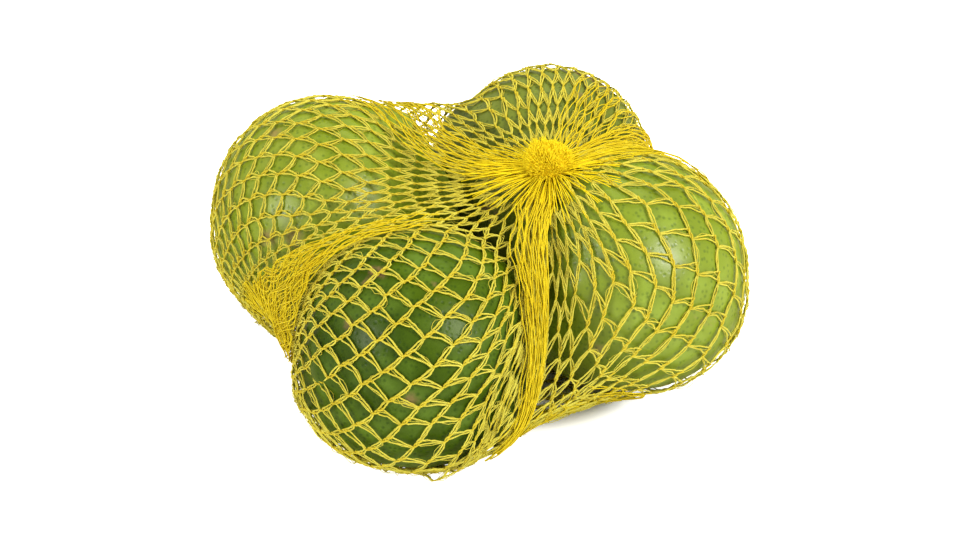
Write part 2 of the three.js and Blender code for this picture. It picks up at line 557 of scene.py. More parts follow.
def settled_net(joints, net):
    """Settles the net: joints are short rods, strands can't stretch, limes and floor hold them up.

    In each step points move by their last move times the damping, sag and are tucked under. Then
    rods, strands and neighbours are corrected in turn and points inside a lime are pushed out. A
    point that touches a lime loses a share of its move to friction. Slack strands shrink slowly,
    and those of the lower rows faster. Both ends of the net stay where they are.

    Returns the joints' two ends, and for both families of strands their middles and the joint
    below that each runs to.
    """
    rng = np.random.default_rng(net["seed"])
    count, rows = joints.shape[1], joints.shape[0] - 1
    rod, strand = net["rod"], 0.5 * net["strand"]
    direction = unit(upwards(joints))
    start = START_ROD * rod * direction
    ends = np.stack([joints + start, joints - start], 2)
    column = np.arange(count)
    beside = np.array([(column + (1 if j % 2 else -1)) % count for j in range(rows)])
    row = np.arange(rows)[:, None]
    first = 0.5 * (ends[:-1, :, 1] + ends[1:, :, 0])
    second = 0.5 * (ends[:-1, :, 1] + ends[1:, :, 0][row, beside])
    half = 0.5 * rod * direction[0]
    top = np.stack([joints[0] + half, joints[0] - half], 1)
    bottom = np.stack([joints[-1], joints[-1] - [0, 0, 0.5 * rod]], 1)
    spread = 1 + net["unevenness"] * rng.standard_normal((2, rows, count))
    fine = fineness(crowded_columns(column / count, net["crowds"]), net["finer"])
    lengths = strand * fine * spread
    families = ((first, EVERY), (second, (row, beside)))
    slack_pull = net["slack_pull"] * (1 + net["lower_pull"] * smooth_step(row, *net["lower_rows"]))
    parts = (ends, first, second)
    speeds = [np.zeros_like(points) for points in parts]
    for _ in range(net["steps"]):
        before = [points.copy() for points in parts]
        for points, speed in zip(parts, speeds):
            points += speed
            points[..., 2] -= net["sag"]
            tuck_under(points, net["tucks"], net["tuck"])
        for _ in range(PASSES):
            hold_rods(ends, rod)
            for (middle, target), length in zip(families, lengths):
                hold_strands(ends, middle, target, length, slack_pull, net["bend"])
            hold_apart(ends, net["apart"])
            touches = [np.zeros(points.shape[:-1], bool) for points in parts]
            for points, touch in zip(parts, touches):
                push_out(points, net["clearance"], touch)
            ends[0], ends[-1] = top, bottom
        for slot, points in enumerate(parts):
            move = points - before[slot]
            move[touches[slot]] *= 1 - net["friction"]
            points[:] = before[slot] + move
            speeds[slot] = move * net["damping"]
        ends[0], ends[-1] = top, bottom
    return ends, families


# ---- the net's threads --------------------------------------------------------------------------

THREAD_POINTS = 8
FILAMENT_POINTS = 6
LEAD_POINTS = 7
FILAMENT_RADIUS = 0.085
OFF_PEEL, JOINT_OFF = 0.04, 0.08  # gap between the peel and a thread, or one in a joint
FILAMENT_OFF, FOLD_OFF = 0.12, 0.3  # from the peel to the middle of a filament or folded thread
LOOSE = 0.16  # how far the middle of a strand is moved
SHAKE, FILAMENT_SHAKE = 0.05, 0.10  # how far every point of a thread or filament is moved
FILAMENT_BOW = 0.5  # how far the middle of a filament strays from its strand
RUN_ON = 0.6  # share of the joint below that a thread runs on along
RUN_ON_FROM = 0.45  # share of the strand from which it does
EASY_ROOM = 3.5  # room in mm at which a joint isn't crowded
LEAST_SNUG = 0.3  # how wide the most crowded joints are, over easy ones
HEAVE = 1.3  # lift in mm of a joint without any room
WIND = 0.30  # how far a joint's threads wind out from its middle line
WIND_REACH = 1.15  # how far they run past the middle, over half the joint
WIND_TURN = 2.2  # angle in radians that they turn by on the way
LEAN_NEAR, LEAN_FAR = 3, 10  # mm from a lime between which its lean fades out


def net_normals(centres):
    """The net's outward direction at each joint, from its neighbours round and along the net."""
    across = np.roll(centres, -1, axis=1) - np.roll(centres, 1, axis=1)
    return unit(np.cross(across, upwards(centres)))


def along_strands(centres, rising):
    """At each joint, the direction up the strands whose column number rises, or falls, downwards.

    In odd rows a joint's neighbours above and below have its own number and the next one, in even
    rows the one before and its own.
    """
    upper, lower = centres.copy(), centres.copy()
    for j in range(len(centres)):
        odd = j % 2
        if rising:
            above, below = (0, -1) if odd else (1, 0)
        else:
            above, below = (-1, 0) if odd else (0, 1)
        if j > 0:
            upper[j] = np.roll(centres[j - 1], above, axis=0)
        if j < len(centres) - 1:
            lower[j] = np.roll(centres[j + 1], below, axis=0)
    return unit(upper - lower)


def leaning(centres, leans):
    """How far joints lie along the rising (1) or the falling (-1) strands, 0 away from limes."""
    lean = np.zeros(centres.shape[:-1])
    for lime, amount in leans.items():
        centre, radius, _ = BODIES[lime]
        away = np.linalg.norm(centres - centre, axis=-1) - radius
        lean += amount * (1 - smooth_step(away, LEAN_NEAR, LEAN_FAR))
    return lean[..., None]


def room(centres):
    """Distance from each joint to the nearer of its two neighbours in its row."""
    gap = np.linalg.norm(np.roll(centres, -1, axis=1) - centres, axis=-1)
    return np.minimum(gap, np.roll(gap, 1, axis=1))


class Knit:
    """The settled net's joints as they are drawn.

    A joint lies a fifth along its own rod and four fifths along the strands that it leans to.
    `snug` is its room, LEAST_SNUG where crowded to 1 where easy; crowded joints are lifted off the
    fruit by (1 - snug) * HEAVE * (a draw for the column + a draw for the joint).
    """

    def __init__(self, ends, leans, length, rng):
        centre = 0.5 * (ends[:, :, 0] + ends[:, :, 1])
        rod = unit(ends[:, :, 0] - ends[:, :, 1])
        lean = leaning(centre, leans)
        rising, falling = along_strands(centre, True), along_strands(centre, False)
        strands = unit((1 + lean) * rising + (1 - lean) * falling)
        self.axis = unit(0.2 * rod + 0.8 * strands)
        self.normal = net_normals(centre)
        self.snug = np.clip(room(centre) / EASY_ROOM, LEAST_SNUG, 1)
        heave = rng.uniform(-0.2, 1, centre.shape[1]) + 0.4 * rng.standard_normal(self.snug.shape)
        self.lift = ((1 - self.snug) * HEAVE * heave)[..., None] * self.normal
        self.centre = centre + self.lift
        self.half = 0.5 * length * self.axis
        self.top, self.low = self.centre + self.half, self.centre - self.half


def strand_threads(knit, middle, target, gap, radius, rng):
    """The two threads and the two filaments of every strand in one family.

    A thread is a parabola from the joint above to the joint below, moved to its side by gap *
    (0.35 + 0.65 sin(pi t)). From RUN_ON_FROM on, the second thread and the filaments bend away
    into the joint below. Every point is moved a little.
    """
    start, end = knit.low[:-1], knit.top[1:][target]
    inner = RUN_ON * (knit.low[1:][target] - end)
    outward = unit(knit.normal[:-1] + knit.normal[1:][target])
    side = unit(np.cross(outward, end - start))
    side = side * np.sign((side * inner).sum(-1, keepdims=True) + TINY)
    loose = LOOSE * rng.standard_normal(middle.shape)
    loose += 0.5 * (knit.lift[:-1] + knit.lift[1:][target])
    snug = (0.5 * (knit.snug[:-1] + knit.snug[1:][target]))[..., None, None]

    def strand(points):
        t = np.linspace(0, 1, points)[:, None]
        into = smooth_step(t, RUN_ON_FROM, 1.0) * inner[..., None, :]
        return np.sin(np.pi * t), curve_through(start, middle + loose, end, points), into

    bow, curve, into = strand(THREAD_POINTS)
    apart = gap * snug * (0.35 + 0.65 * bow) * side[..., None, :]
    threads = []
    for way, share in ((-1, 0), (1, 1)):
        path = curve + way * apart + SHAKE * rng.standard_normal(curve.shape) + share * into
        path = push_out(path.reshape(-1, THREAD_POINTS, 3), radius + OFF_PEEL)
        width = radius * (0.6 + 0.4 * snug.reshape(-1, 1)) * rng.uniform(0.8, 1.15, path.shape[:2])
        threads.append((path, width, outward.reshape(-1, 1, 3)))
    bow, curve, into = strand(FILAMENT_POINTS)
    filaments = []
    for share in (0.2, 0.9):
        stray = FILAMENT_BOW * bow * rng.standard_normal((*middle.shape[:2], 1, 3))
        path = curve + stray + share * into + FILAMENT_SHAKE * rng.standard_normal(curve.shape)
        filaments.append(push_out(path.reshape(-1, FILAMENT_POINTS, 3), FILAMENT_OFF))
    return threads, filaments


def joint_threads(knit, phase, radius):
    """One of the two threads that are wound round each other in every joint.

    The path is centre + t * half + WIND * snug * (cos(a) * side + 0.6 sin(a) * normal), with a =
    phase + WIND_TURN * t and t from -WIND_REACH to WIND_REACH.
    """
    t = np.linspace(-WIND_REACH, WIND_REACH, THREAD_POINTS)[:, None]
    angle = phase + WIND_TURN * t
    side = unit(np.cross(knit.normal, knit.axis))[..., None, :]
    turn = np.cos(angle) * side + 0.6 * np.sin(angle) * knit.normal[..., None, :]
    wind = WIND * knit.snug[..., None, None] * turn
    path = knit.centre[..., None, :] + t * knit.half[..., None, :] + wind
    path = push_out(path.reshape(-1, THREAD_POINTS, 3), radius + JOINT_OFF)
    width = radius * (0.5 + 0.6 * knit.snug.reshape(-1, 1))
    return path, width, knit.normal.reshape(-1, 1, 3)


def neck_threads(knit, gap, radius, rng):
    """Parabolas from the neck to the uppermost joints, two to each joint."""
    inner = NECK + 0.5 * rng.normal(0, 1, (knit.centre.shape[1], 2, 3)) + [0, 0, 1.0]
    side = 0.5 * gap * knit.axis[0]
    outer = np.stack([knit.top[0] + side, knit.top[0] - side], 1)
    lead = curve_through(inner, 0.5 * (inner + outer) + [0, 0, 0.3], outer, LEAD_POINTS)
    return push_out(lead.reshape(-1, LEAD_POINTS, 3), radius + OFF_PEEL)


# ---- folded layers and the tuft -----------------------------------------------------------------

FOLD_MESH = 8  # mm down a folded strand between two crossings
FOLD_POINT = 2  # mm between its points
ASIDE = 0.004  # share of the way round to the column that gives the film's direction
LATEST, EARLIEST = 16, 14  # mm by which a fold's strands start late and end early at most
LIFTED = 0.5  # mm by which every folded thread lies off the film

# How uneven folds are: random shares of a swing, then steps from point to point, shifts of whole
# threads and how far a second thread lies beside the first, in strand widths, and shifts in height
# in layers.
SWING_STRAY, STEP_STRAY, THREAD_STRAY, BESIDE, LAYER_STRAY = 0.15, 0.08, 0.3, 0.2, 0.4

# Threads round the tuft's foot: their number, and in mm the depth at which they join the net, how
# far from the neck they start and how far their middle is raised.
COLLAR = {"threads": 250, "depth": (5, 20), "reach": (1.5, 4.6), "rise": (0.2, 1.0)}

TUFT_MIDDLE = NECK + [-0.6, 0, 4.7]
CORE_MIDDLE = NECK + [-0.6, 0, 4.4]
CORE_SHARE = 0.78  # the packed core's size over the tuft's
LOWEST_END = -0.35  # height of the lowest cut ends over the tuft's half height
ROOT_REACH = 2.2  # how far from its middle yarn ends leave the neck
END_BOW = 1.2  # how far their middle is raised
END_POINTS = 6
END_RADII = 0.11 * np.linspace(1.0, 0.8, END_POINTS)


def soft_edges(edges):
    """A fold's edges and height at even depths: linear between the listed ones, then smoothed."""
    depths, *listed = np.array(edges).T
    depth = np.linspace(depths[0], depths[-1], int((depths[-1] - depths[0]) / FOLD_POINT) + 2)
    soften = np.ones(5) / 5
    return depth, [
        np.convolve(np.pad(np.interp(depth, depths, edge), 2, "edge"), soften, "valid")
        for edge in listed
    ]


def fold_threads(film, edges, strands, seed, swing, layers=1, crowd=1.0):
    """Threads of net layers that lie folded on each other between two edges on the film.

    edges lists (depth in mm, left column, right column, height in mm). Strand i of a layer runs
    down at u = (i + 1/2) / strands from edge to edge as two threads. They swing by `swing` strand
    widths to either side every FOLD_MESH mm, against the next strand, so they cross as drawn-out
    meshes, and start and end unevenly. u ** crowd crowds them to the right. They lie on the film,
    raised by height * (layer + 1/2) / layers * sqrt(sin(pi u)).
    """
    rng = np.random.default_rng(seed)
    depth, (left, right, tall) = soft_edges(edges)
    first, last = depth[0], depth[-1]
    count, points = 2 * strands, len(depth)
    thread = np.arange(count)[:, None]
    strand, second = thread // 2, thread % 2
    paths, normals = [], []
    for layer in range(layers):
        late = min(0.4 * first, LATEST) * rng.uniform(0, 1, (count, 1))
        early = EARLIEST * rng.uniform(0, 1, (count, 1))
        down_to = first + late + (last - first - late - early) * np.linspace(0, 1, points)
        near, far, high = (np.interp(down_to, depth, edge) for edge in (left, right, tall))
        phase = down_to / FOLD_MESH + strand + rng.normal(0, SWING_STRAY, (count, 1))
        wander = np.cumsum(rng.normal(0, STEP_STRAY, (count, points)), axis=1)
        u = strand + 0.5 + swing * np.sin(np.pi * phase) + wander
        u = (u + rng.normal(0, THREAD_STRAY, (count, 1)) + BESIDE * second) / strands
        u = np.clip(u, 0, 1) ** crowd
        column = near + (far - near) * u
        base = at_depth(film, column, down_to)
        beside = at_depth(film, column + ASIDE, down_to)
        normal = unit(np.cross(np.gradient(base, axis=1), beside - base))
        share = (layer + 0.5 + LAYER_STRAY * rng.standard_normal((count, 1))) / layers
        lift = LIFTED + high * share * np.sqrt(np.sin(np.pi * u))
        paths.append(base + lift[..., None] * normal)
        normals.append(normal)
    return push_out(np.concatenate(paths), FOLD_OFF), np.concatenate(normals)


def collar_threads(film, seed):
    """Threads that leave the tuft's foot all round and join the net a little way down it.

    Each is a parabola from a point beside the neck to the film, raised a little in the middle.
    """
    rng = np.random.default_rng(seed)
    count = COLLAR["threads"]
    column = (np.arange(count) + rng.uniform(0, 1, count)) / count
    end = at_depth(film, column, rng.uniform(*COLLAR["depth"], count)) + [0, 0, LIFTED]
    angle = 2 * np.pi * (column + rng.normal(0, 0.01, count))
    reach = rng.uniform(*COLLAR["reach"], count)
    start = NECK + polar(reach, angle, 0.4 + 0.75 * reach)
    middle = 0.5 * (start + end) + polar(0, angle, rng.uniform(*COLLAR["rise"], count))
    return push_out(curve_through(start, middle, end, THREAD_POINTS), FOLD_OFF)


def tuft_ends(count, width, height):
    """Cut yarn ends: parabolas from the neck, bowed upwards, to points in a flattened ball.

    A tip lies at a draw of turn b and height h, at uneven * draw ** 0.4 of the ball's radius, with
    uneven = 1 + 0.05 sin(3 b + 1) + 0.04 sin(5 b + 4 h).
    """
    rng = np.random.default_rng(3)
    up = rng.uniform(LOWEST_END, 1, count)
    turn = rng.uniform(0, 2 * np.pi, count)
    uneven = 1 + 0.05 * np.sin(3 * turn + 1) + 0.04 * np.sin(5 * turn + 4 * up)
    inside = uneven * rng.uniform(0.45, 1.12, count) ** 0.4
    ball = polar(np.sqrt(1 - up ** 2) * width, turn, up * height)
    tip = TUFT_MIDDLE + inside[:, None] * ball
    root_turn = turn + rng.normal(0, 0.4, count)
    root = NECK + polar(ROOT_REACH * np.sqrt(rng.uniform(0, 1, count)), root_turn, -0.6)
    return curve_through(root, 0.5 * (root + tip) + [0, 0, END_BOW], tip, END_POINTS)


def tuft_core(width, height, rings=24):
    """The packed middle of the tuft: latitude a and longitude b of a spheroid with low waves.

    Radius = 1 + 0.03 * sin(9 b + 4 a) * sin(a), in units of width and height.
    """
    a = np.linspace(0, np.pi, rings + 1)[:, None]
    b = 2 * np.pi * np.arange(2 * rings)[None] / (2 * rings)
    size = 1 + 0.03 * np.sin(9 * b + 4 * a) * np.sin(a)
    outward = polar(np.sin(a), b, -np.cos(a))
    return closed_grid(CORE_MIDDLE + size[..., None] * outward * [width, width, height])


# ---- the limes ----------------------------------------------------------------------------------


def ring_hump(angle, middle, width):
    """exp(-((angle - middle) / width)^2), a raised ring round a lime's tip or stalk."""
    return np.exp(-(((angle - middle) / width) ** 2))


def lime_surface(name, rings):
    """A lime as a grid of latitude a (0 at the tip, pi at the stalk) and longitude b.

    Radius = R * (0.996 + tip - groove round it - stalk dimple + stalk button + three low waves in
    b that fade out at both ends) + the fuller lower half + the swells towards its neighbour, with
    everything stretched along the axis.
    """
    centre, radius, axis = BODIES[name]
    rng = np.random.default_rng(sum(map(ord, name)))
    across = 2 * rings
    a = np.linspace(0, np.pi, rings + 1)[:, None]
    b = 2 * np.pi * np.arange(across)[None] / across
    tip = 0.035 * ring_hump(a, 0, 0.16) - 0.012 * ring_hump(a, 0.34, 0.12)
    stalk = 0.022 * ring_hump(a, np.pi, 0.06) - 0.03 * ring_hump(a, np.pi, 0.16)
    waves = 0
    for order in (2, 3, 5):
        phase, lean = rng.uniform(0, 2 * np.pi, 2)
        waves = waves + 0.0035 * np.sin(a) ** 2 * np.cos(order * b + phase + np.cos(a + lean))
    size = radius * (0.996 + tip + stalk + waves)
    side = unit(np.cross(axis, [0.3, 0.1, 1.0]))
    other = np.cross(axis, side)
    around = np.cos(b)[..., None] * side + np.sin(b)[..., None] * other
    outward = np.sin(a)[..., None] * around - np.cos(a)[..., None] * axis * LIME_STRETCH
    down = np.clip(-unit(outward)[..., 2], 0, 1)
    size = size + FULLNESS * LIMES[name]["slack"] * slack_share(down)
    for towards, rise, width in BULGES.get(name, ()):
        angle = np.arccos(np.clip(unit(outward) @ unit(towards), -1, 1))
        size = size + rise * ring_hump(angle, 0, width)
    return closed_grid(centre + size[..., None] * outward)


# ---- materials ----------------------------------------------------------------------------------


class Shade:
    """A node socket that can be used in Python arithmetic; each operation adds a Math node."""

    def __init__(self, tree, socket):
        self.tree = tree
        self.socket = socket

    def node(self, kind, settings=None, inputs=None, output=0):
        """Adds a node: its settings first, then its sockets' values or links."""
        made = self.tree.nodes.new(kind)
        for key, value in (settings or {}).items():
            setattr(made, key, value)
        for key, value in (inputs or {}).items():
            if isinstance(value, Shade):
                self.tree.links.new(value.socket, made.inputs[key])
            else:
                made.inputs[key].default_value = value
        return Shade(self.tree, made.outputs[output])

    def feed(self, shader, name):
        """Links the value to a socket of the shader."""
        self.tree.links.new(self.socket, shader.inputs[name])

    def maths(self, operation, *values):
        """A Math node on numbers or values."""
        return self.node("ShaderNodeMath", {"operation": operation}, dict(enumerate(values)))

    def __add__(self, other):
        return self.maths("ADD", self, other)

    __radd__ = __add__

    def __sub__(self, other):
        return self.maths("SUBTRACT", self, other)

    def __rsub__(self, other):
        return self.maths("SUBTRACT", other, self)

    def __mul__(self, other):
        return self.maths("MULTIPLY", self, other)

    __rmul__ = __mul__

    def ramp(self, low, high):
        """0 where the value is at low, 1 at high, smooth between."""
        return self.node(
            "ShaderNodeMapRange",
            {"interpolation_type": "SMOOTHSTEP"},
            {"Value": self, "From Min": low, "From Max": high},
        )

    def mix(self, first, second):
        """This value as the factor between two colours."""
        inputs = {"Factor": self, "A": first, "B": second}
        return self.node("ShaderNodeMix", {"data_type": "RGBA"}, inputs, "Result")


def new_material(name):
    """A material with a bare Principled shader, that shader, and its coordinates as a Shade."""
    material = bpy.data.materials.new(name)
    material.use_nodes = True
    tree = material.node_tree
    shader = tree.nodes["Principled BSDF"]
    coordinates = Shade(tree, None).node("ShaderNodeTexCoord", output="Object")
    return material, shader, coordinates


def rgba(colour):
    """A colour with full alpha."""
    return (*colour[:3], 1.0)


def noise(where, scale, detail, seed=None):
    """Noise over the coordinates; with a seed it is one of many patterns, and a little rougher."""
    inputs = {"Vector": where, "Scale": scale, "Detail": detail}
    if seed is None:
        return where.node("ShaderNodeTexNoise", {}, inputs)
    inputs.update(W=seed, Roughness=0.55)
    return where.node("ShaderNodeTexNoise", {"noise_dimensions": "4D"}, inputs)


def distance_to(where, point):
    """Distance in metres between the coordinates and a fixed point."""
    settings = {"operation": "DISTANCE"}
    return where.node("ShaderNodeVectorMath", settings, {0: where, 1: point}, "Value")


def relief(height, strength, depth):
    """A normal that follows the height, which is worth `depth` metres for each unit."""
    inputs = {"Strength": strength, "Distance": depth, "Height": height}
    return height.node("ShaderNodeBump", {}, inputs, "Normal")


def peel_material(name, light, pore_spacing, tone, marks):
    """Waxy lime peel: soft green and yellow clouds, fine oil pores, pale blotches and brown scars.

    A mark of radius r is brown where the distance to its middle + 1.4 r * ragged noise is under
    0.9 r, and fades out at 2 r.
    """
    material, shader, where = new_material(name)
    seed = tone["seed"]
    clouds = noise(where, 28, 3, seed).ramp(0.35, 0.7)
    blotches = noise(where, 95, 4, seed + 3).ramp(0.42, 0.68)
    cells = {"Vector": where, "Scale": 1 / pore_spacing, "Randomness": 0.7}
    pit = 1 - where.node("ShaderNodeTexVoronoi", {}, cells, "Distance").ramp(0.05, 0.45)
    fine = noise(where, 900, 2, seed + 5)
    scars = noise(where, 48, 5, seed + 11).ramp(0.655, 0.70)
    scars = scars * noise(where, 420, 3, seed + 17).ramp(0.35, 0.6)
    ragged = noise(where, 650, 3, seed + 19)
    for middle, size in marks:
        radius = size * MM
        away = distance_to(where, tuple(MM * middle)) + ragged * (1.4 * radius)
        scars = scars + (1 - away.ramp(0.9 * radius, 2.0 * radius)) * 0.75
    green = clouds.mix(rgba(tone["dark"]), rgba(light))
    green = (blotches * 0.45).mix(green, rgba(tone["pale"]))
    green = (pit * 0.55).mix(green, rgba(tone["pore"]))
    green = (scars * 0.8).mix(green, rgba(tone["scar"]))
    green.feed(shader, "Base Color")
    (0.30 + fine * 0.08 + scars * 0.4).feed(shader, "Roughness")
    relief(fine * 0.25 - pit * 1.0 - scars * 0.4, 0.25, 0.00018).feed(shader, "Normal")
    shader.inputs["Specular IOR Level"].default_value = tone["gloss"]
    return material


def yarn_material(name, light, deep):
    """Thin plastic yarn: fine streaks between two yellows, soft sheen, ribbed filaments."""
    material, shader, where = new_material(name)
    streaks = noise(where, 900, 3).ramp(0.3, 0.7)
    drift = noise(where, 70, 2).ramp(0.35, 0.7)
    (streaks * 0.6 + drift * 0.4).mix(rgba(light), rgba(deep)).feed(shader, "Base Color")
    relief(noise(where, 2600, 2), 0.5, 0.00008).feed(shader, "Normal")
    shader.inputs["Roughness"].default_value = 0.55
    shader.inputs["Specular IOR Level"].default_value = 0.05
    return material


def floor_material(colour):
    """A pale floor with a glow of its own, so that it ends nowhere.

    The glow grows from the fruit outwards, so the floor is darker near the fruit: partly its real
    shadow, partly painted shade. It is none in spots under the net, which paints shade there on
    top of the real shadow. Mirrored rays meet a duller floor, which keeps white rims off the peel.
    """
    material, shader, where = new_material("floor")
    seen = where.node("ShaderNodeLightPath", output="Is Camera Ray")
    mirrored = where.node("ShaderNodeLightPath", output="Is Glossy Ray")
    away = distance_to(where, (0.0, 0.0, 0.0))
    glow = away.ramp(*GLOW_REACH) * (seen * 0.35 + 0.45) + seen * 0.86
    # Painted shade: the glow is taken out in spots under the net.
    for middle, dark, full in PAINTED_SHADE_SPOTS:
        glow = glow * distance_to(where, middle).ramp(dark, full)
    tint = mirrored.mix((1, 1, 1, 1), rgba(MIRRORED_FLOOR))
    settings = {"data_type": "RGBA", "blend_type": "MULTIPLY"}
    tinted = where.node("ShaderNodeMix", settings, {"Factor": 1.0, "A": tint, "B": glow}, "Result")
    tinted.feed(shader, "Emission Color")
    mirrored.mix(rgba(colour), rgba(MIRRORED_FLOOR)).feed(shader, "Base Color")
    shader.inputs["Emission Strength"].default_value = 1.0
    shader.inputs["Roughness"].default_value = 0.9
    return material


# ---- settings -----------------------------------------------------------------------------------


def length_setting(name, description, default):
    return bpy.props.FloatProperty(
        name=name, description=description, default=default, unit="LENGTH", precision=5
    )


def colour_setting(name, description, default):
    return bpy.props.FloatVectorProperty(
        name=name, description=description, default=default, subtype="COLOR", size=3, min=0, max=1
    )


def count_setting(name, description, default):
    return bpy.props.IntProperty(name=name, description=description, default=default, min=2)


class LimeSettings(bpy.types.PropertyGroup):
    pore_spacing: length_setting("Pore spacing", "Distance between the peel's oil pores", 0.0014)
    rings: count_setting("Rings", "Rings of faces round a lime", 120)
    left: colour_setting("Left peel", "Lighter green of the left lime", (0.25, 0.33, 0.015))
    front: colour_setting("Front peel", "Lighter green of the front lime", (0.068, 0.120, 0.001))
    right: colour_setting("Right peel", "Lighter green of the right lime", (0.22, 0.30, 0.013))
    back: colour_setting("Back peel", "Lighter green of the back lime", (0.17, 0.215, 0.018))


class NetSettings(bpy.types.PropertyGroup):
    columns: count_setting("Columns", "Joints round the net", 75)
    rows: count_setting("Rows", "Rows of joints from end to end", 34)
    thread: length_setting("Thread", "Width of one thread", 0.00042)
    gap: length_setting("Thread gap", "Distance between a strand's two threads", 0.00062)
    joint: length_setting("Joint length", "Length of a knitted joint", 0.0026)
    light: colour_setting("Yarn light", "Lighter colour of the yarn", (0.61, 0.56, 0.085))
    deep: colour_setting("Yarn deep", "Deeper colour of the yarn", (0.54, 0.45, 0.04))


class TuftSettings(bpy.types.PropertyGroup):
    width: length_setting("Width", "Width of the tuft", 0.0118)
    height: length_setting("Height", "Half the height of the tuft's head", 0.0056)
    ends: count_setting("Ends", "Number of yarn ends", 3000)
    light: colour_setting("Tuft light", "Lighter colour of the cut ends", (0.86, 0.69, 0.02))
    deep: colour_setting("Tuft deep", "Deeper colour of the cut ends", (0.80, 0.59, 0.008))


class StageSettings(bpy.types.PropertyGroup):
    lens: bpy.props.FloatProperty(
        name="Lens", description="Camera lens in millimetres", default=82.74
    )
    floor: colour_setting("Floor", "Colour of the floor", (0.9, 0.9, 0.9))


# Lighter and deeper yarn where it lies packed in folds, round the tuft's foot and in joints. The
# joints' yarn is darker and more orange than the net's: painted shade of the wound threads.
YARNS = {
    "packed": ((0.69, 0.55, 0.02), (0.61, 0.45, 0.01)),
    "collar": ((0.82, 0.66, 0.015), (0.75, 0.55, 0.008)),
    "joints": ((0.58, 0.48, 0.04), (0.50, 0.38, 0.02)),
}

# How the net is laid and settled. Places round it are shares of the round, lengths are in mm.
NET = {
    # Laying: rows a step apart, columns crowded and meshes finer at (middle, width, amount).
    "step": 7.8,
    "crowds": (
        (0.74, 0.08, 2.2), (0.51, 0.12, 1.7), (0.09, 0.10, 1.7), (0.25, 0.07, 1.6),
        (0.635, 0.06, 0.9),
    ),
    "finer": ((0.635, 0.08, 0.2), (0.44, 0.06, 0.08)),
    "ragged": 0.9,
    "bundle": {
        "column": 0.724, "drift": 0.0018, "bend": 32, "left": 0.17, "right": 0.075, "amount": 0.8,
        "start": (6, 22), "end": (82, 145), "peel": 58,
    },
    "turns": [
        {"lime": "front", "degrees": -38, "axis": (-0.15, -0.85, 0.5), "full": 20, "none": 120},
        {"lime": "right", "degrees": 35, "axis": (0.3, -0.7, 0.6), "full": 20, "none": 110},
    ],
    # Which family of strands the joints on a lime lie along.
    "leans": {"front": 1.0, "right": -1.0},
    # Settling: lengths of joints and strands, then what moves them in a step.
    "rod": 1.3,
    "strand": 6.9,
    "unevenness": 0.05,
    "apart": 0.65,
    "clearance": 0.5,
    "slack_pull": 0.003,
    "lower_pull": 6,
    "lower_rows": (13, 22),
    "tuck": 0.015,
    "tucks": (("front", (0.1, -1.0)), ("right", (0.8, -0.6))),
    "bend": 0.02,
    "friction": 0.4,
    "damping": 0.85,
    "sag": 0.001,
    "steps": 700,
    "seed": 1,
}

# Radius of the threads in folds and in the collar, over that of the net's threads.
FOLD_SHARE, COLLAR_SHARE = 0.65, 0.6

# Net layers folded on each other: their edges down the film as (depth, left column, right column,
# height above the film), all but the columns in millimetres.
FOLDS = {
    "valley": {
        "edges": (
            (30, 0.598, 0.640, 0.2), (39, 0.598, 0.628, 0.3), (47, 0.588, 0.612, 0.4),
            (55, 0.577, 0.600, 0.5), (65, 0.560, 0.604, 0.8), (75, 0.545, 0.616, 1.2),
            (85, 0.520, 0.626, 1.6), (95, 0.498, 0.630, 2.2), (106, 0.478, 0.624, 2.2),
            (118, 0.470, 0.600, 1.8),
        ),
        "strands": 6, "seed": 11, "swing": 1.1, "crowd": 0.9,
    },
    "fan": {
        "edges": (
            (50, 0.580, 0.604, 0.4), (60, 0.568, 0.599, 0.7), (68, 0.552, 0.606, 1.0),
            (76, 0.538, 0.616, 1.2), (86, 0.512, 0.626, 1.6), (97, 0.490, 0.630, 1.8),
            (112, 0.474, 0.612, 1.8),
        ),
        "strands": 11, "layers": 2, "seed": 19, "swing": 1.2, "crowd": 0.9,
    },
    "bundle": {
        "edges": (
            (4, 0.62, 0.80, 1.2), (12, 0.66, 0.746, 1.4), (19, 0.684, 0.740, 1.6),
            (25, 0.697, 0.746, 1.4), (34, 0.720, 0.758, 1.2), (42, 0.745, 0.770, 1.2),
            (51, 0.764, 0.783, 1.0), (61, 0.780, 0.798, 1.0), (72, 0.788, 0.809, 0.8),
            (84, 0.78, 0.818, 0.6),
        ),
        "strands": 10, "layers": 2, "seed": 12, "swing": 0.5, "crowd": 0.7,
    },
    "shoulder": {
        "edges": (
            (4, 0.03, 0.18, 0.8), (25, 0.05, 0.155, 1.4), (40, 0.06, 0.148, 1.2),
            (60, 0.07, 0.140, 0.6), (76, 0.08, 0.132, 0.3),
        ),
        "strands": 14, "layers": 2, "seed": 13, "swing": 0.4, "crowd": 0.8,
    },
    "crown": {
        "edges": (
            (4, -0.08, 0.09, 0.6), (25, -0.03, 0.085, 0.6), (45, 0.0, 0.08, 0.6),
            (62, 0.01, 0.07, 0.6),
        ),
        "strands": 8, "seed": 15, "swing": 0.35,
    },
    "back_fan": {
        "edges": (
            (4, 0.12, 0.25, 0.6), (22, 0.14, 0.235, 0.6), (38, 0.145, 0.22, 0.5),
            (56, 0.15, 0.205, 0.4),
        ),
        "strands": 8, "seed": 16, "swing": 0.3,
    },
    "crest": {
        "edges": (
            (5, 0.40, 0.54, 0.4), (20, 0.41, 0.52, 0.5), (31, 0.395, 0.475, 0.5),
            (42, 0.360, 0.435, 0.5), (52, 0.345, 0.410, 0.4), (62, 0.340, 0.400, 0.3),
        ),
        "strands": 13, "seed": 17, "swing": 0.6,
    },
    "foot": {
        "edges": (
            (66, 0.812, 0.835, 0.6), (76, 0.820, 0.865, 0.8), (88, 0.83, 0.90, 0.8),
            (100, 0.84, 0.92, 0.8), (112, 0.84, 0.93, 0.8),
        ),
        "strands": 8, "layers": 2, "seed": 14, "swing": 0.6,
    },
}


